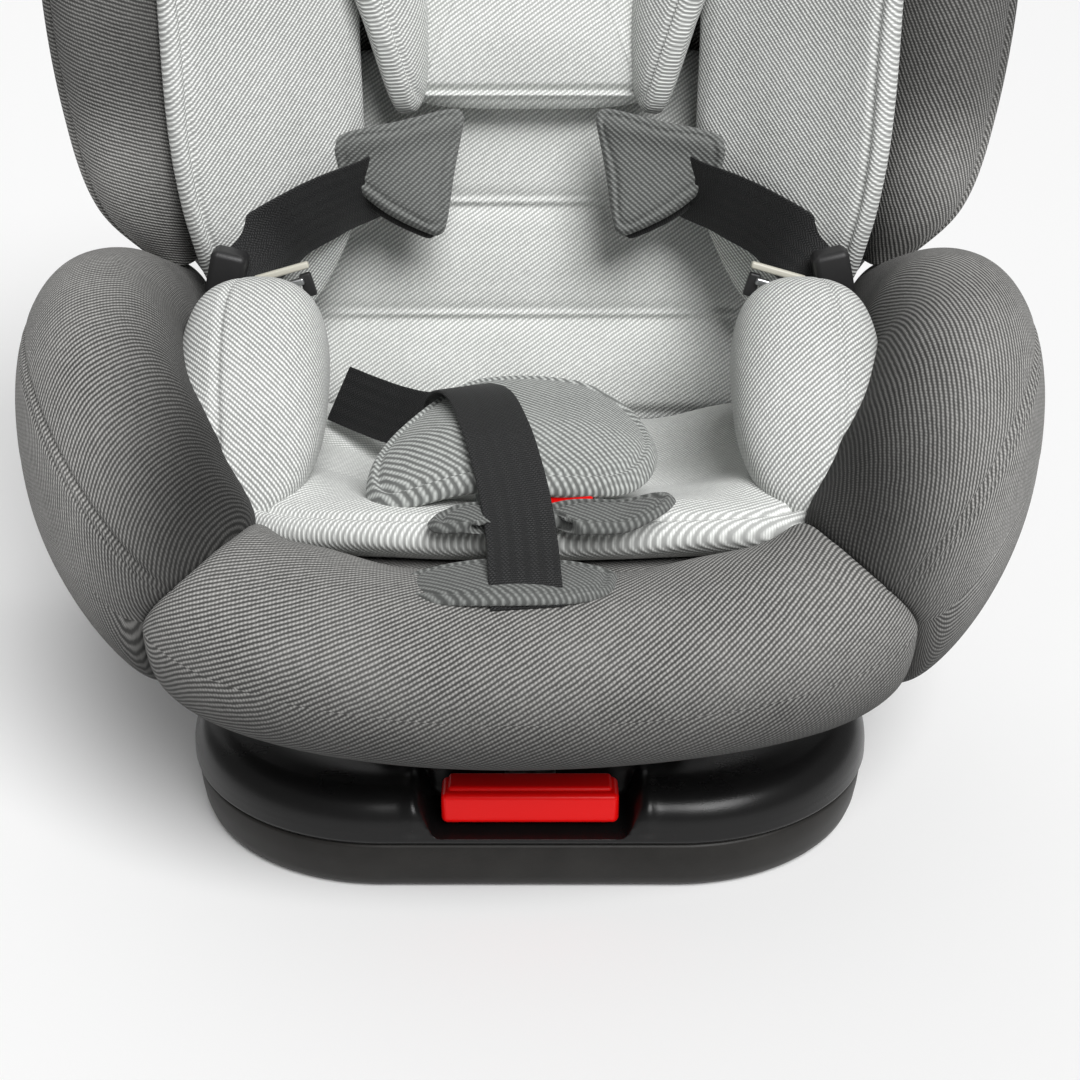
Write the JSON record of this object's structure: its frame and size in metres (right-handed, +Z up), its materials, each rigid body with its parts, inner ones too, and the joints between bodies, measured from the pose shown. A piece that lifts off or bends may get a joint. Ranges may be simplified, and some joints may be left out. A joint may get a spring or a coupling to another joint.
{
  "type": "convertible child car seat",
  "caption": "Padded child car seat with harness, sliding headrest and recline, turning on a base with a front pull handle and sliding ISOFIX arms.",
  "frame": {"origin": "foot of the rotation axis on the underside of the base", "axes": "+Z up along the rotation axis, -Y the way the seat faces, +X to the right seen from the front"},
  "size_m": [0.4626, 0.5636, 0.622],
  "materials": {
    "base_plastic": "black moulded plastic with a fine grain and a satin gloss",
    "shell_plastic": "black textured moulded plastic",
    "grey_plastic": "mid grey moulded plastic",
    "red_plastic": "glossy signal red plastic",
    "steel": "zinc plated steel",
    "dark_twill": "dark grey twill over foam",
    "light_twill": "light grey twill over foam",
    "pad_twill": "mid grey twill with a bound edge",
    "webbing": "black polyester webbing"
  },
  "bodies": {
    "base": {"base_lower_housing": "base_plastic", "base_upper_cover": "base_plastic", "turntable_bearing_ring": "steel", "turntable_spindle": "steel", "isofix_guide_left": "grey_plastic", "isofix_guide_right": "grey_plastic"},
    "isofix_frame": {"isofix_crossbar": "steel", "isofix_arm_left": "steel", "isofix_arm_right": "steel", "isofix_connector_left": "shell_plastic", "isofix_connector_right": "shell_plastic"},
    "jaw_left": {"isofix_jaw_left": "steel"},
    "jaw_right": {"isofix_jaw_right": "steel"},
    "release_left": {"isofix_release_left": "red_plastic"},
    "release_right": {"isofix_release_right": "red_plastic"},
    "handle": {"release_handle": "red_plastic", "lock_bolt": "steel"},
    "turntable": {"turntable_disc": "shell_plastic", "recline_rail_left": "grey_plastic", "recline_rail_right": "grey_plastic"},
    "seat": {"seat_shell": "shell_plastic", "backrest_shell": "shell_plastic", "rear_cover": "shell_plastic", "front_lip": "dark_twill", "arm_pad_left": "dark_twill", "arm_pad_right": "dark_twill", "back_wing_left": "dark_twill", "back_wing_right": "dark_twill", "back_pad": "dark_twill", "insert_seat": "light_twill", "insert_lobe_left": "light_twill", "insert_lobe_right": "light_twill", "insert_back": "light_twill", "insert_wing_left": "light_twill", "insert_wing_right": "light_twill", "shoulder_strap_left": "webbing", "shoulder_strap_right": "webbing", "shoulder_pad_left": "pad_twill", "shoulder_pad_right": "pad_twill", "adjuster_housing": "grey_plastic", "adjuster_flap": "pad_twill", "adjuster_strap": "webbing"},
    "adjuster_lever": {"adjuster_lever": "red_plastic"},
    "headrest": {"headrest_shell": "shell_plastic", "headrest_pad": "light_twill", "headrest_wing_left": "light_twill", "headrest_wing_right": "light_twill", "headrest_frame": "steel"},
    "headrest_lever": {"headrest_lever": "red_plastic"},
    "buckle": {"buckle_housing": "grey_plastic", "buckle_pad": "pad_twill", "crotch_strap": "webbing"},
    "buckle_button": {"buckle_button": "red_plastic"},
    "tongue_left": {"tongue_left": "shell_plastic", "tongue_plate_left": "steel"},
    "tongue_right": {"tongue_right": "shell_plastic", "tongue_plate_right": "steel"}
  },
  "joints": [
    {"name": "isofix_slide", "type": "slide", "parent": "base", "child": "isofix_frame", "axis": [0, 1, 0], "range_m": [0, 0.06]},
    {"name": "jaw_left_turn", "type": "hinge", "parent": "isofix_frame", "child": "jaw_left", "pos_m": [-0.14, 0.262, 0.014], "axis": [-1, 0, 0], "range_deg": [0, 8]},
    {"name": "jaw_right_turn", "type": "hinge", "parent": "isofix_frame", "child": "jaw_right", "pos_m": [0.14, 0.262, 0.014], "axis": [-1, 0, 0], "range_deg": [0, 8]},
    {"name": "release_left_slide", "type": "slide", "parent": "isofix_frame", "child": "release_left", "axis": [0, -1, 0], "range_m": [0, 0.007], "stiffness_N_per_m": 800, "springref_m": -0.002},
    {"name": "release_right_slide", "type": "slide", "parent": "isofix_frame", "child": "release_right", "axis": [0, -1, 0], "range_m": [0, 0.007], "stiffness_N_per_m": 800, "springref_m": -0.002},
    {"name": "handle_pull", "type": "slide", "parent": "base", "child": "handle", "axis": [0, -1, 0], "range_m": [0, 0.014], "stiffness_N_per_m": 900, "springref_m": -0.003},
    {"name": "seat_rotation", "type": "hinge", "parent": "base", "child": "turntable", "pos_m": [0, 0, 0.05], "axis": [0, 0, 1], "continuous": true},
    {"name": "recline", "type": "hinge", "parent": "turntable", "child": "seat", "pos_m": [0, 0, 0.45], "axis": [-1, 0, 0], "range_deg": [-4, 12]},
    {"name": "headrest_slide", "type": "slide", "parent": "seat", "child": "headrest", "axis": [0, 0.2419, 0.9703], "range_m": [0, 0.14]},
    {"name": "headrest_lever_squeeze", "type": "slide", "parent": "headrest", "child": "headrest_lever", "axis": [0, 0.2419, 0.9703], "range_m": [0, 0.006], "stiffness_N_per_m": 600, "springref_m": -0.002},
    {"name": "buckle_lift", "type": "hinge", "parent": "seat", "child": "buckle", "pos_m": [0, -0.07, 0.163], "axis": [-1, 0, 0], "range_deg": [0, 30], "deforming": ["adjuster_strap"]},
    {"name": "buckle_button_press", "type": "slide", "parent": "buckle", "child": "buckle_button", "axis": [0, 1, 0], "range_m": [0, 0.0035], "stiffness_N_per_m": 800, "springref_m": -0.002},
    {"name": "tongue_left_slide", "type": "slide", "parent": "seat", "child": "tongue_left", "axis": [-0.9029, -0.395, 0.1693], "range_m": [-0.004, 0.004]},
    {"name": "tongue_right_slide", "type": "slide", "parent": "seat", "child": "tongue_right", "axis": [0.9029, -0.395, 0.1693], "range_m": [-0.004, 0.004]},
    {"name": "adjuster_press", "type": "hinge", "parent": "seat", "child": "adjuster_lever", "pos_m": [0, -0.2, 0.1568], "axis": [1, 0, 0], "range_deg": [-12, 0], "stiffness_Nm_per_rad": 0.4, "springref_deg": 5.73}
  ],
  "couplings": [
    {"joint": "jaw_left_turn", "follows": "release_left_slide", "rad_per_m": 19},
    {"joint": "jaw_right_turn", "follows": "release_right_slide", "rad_per_m": 19}
  ]
}
